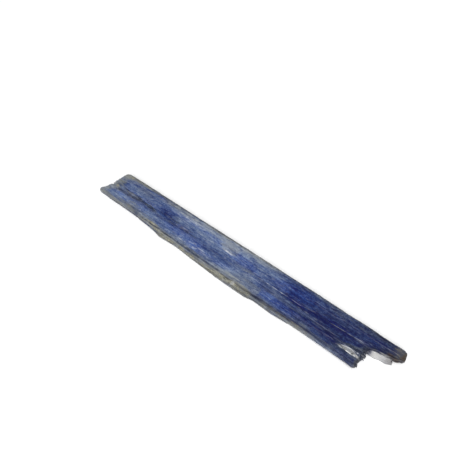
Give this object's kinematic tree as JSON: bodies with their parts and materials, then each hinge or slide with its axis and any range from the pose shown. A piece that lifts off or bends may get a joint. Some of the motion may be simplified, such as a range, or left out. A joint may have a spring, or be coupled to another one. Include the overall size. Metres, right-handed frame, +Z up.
{
  "type": "kyanite crystal",
  "caption": "Long flat blue kyanite crystal: a thin blade of parallel laths, with one longer prong at its broken end.",
  "frame": {"origin": "on the resting plane, under the middle of the bounding box", "axes": "+X along the blade to the tip of its longer prong, +Y to the straight back edge, +Z up out of the broad upper face"},
  "size_m": [0.0954, 0.0116, 0.0023],
  "materials": {
    "kyanite": "translucent blue mineral with a pearly to glassy cleavage lustre, streaked along its length, grey-green at the rims"
  },
  "bodies": {
    "root": {"kyanite_blade": "kyanite"}
  },
  "joints": []
}
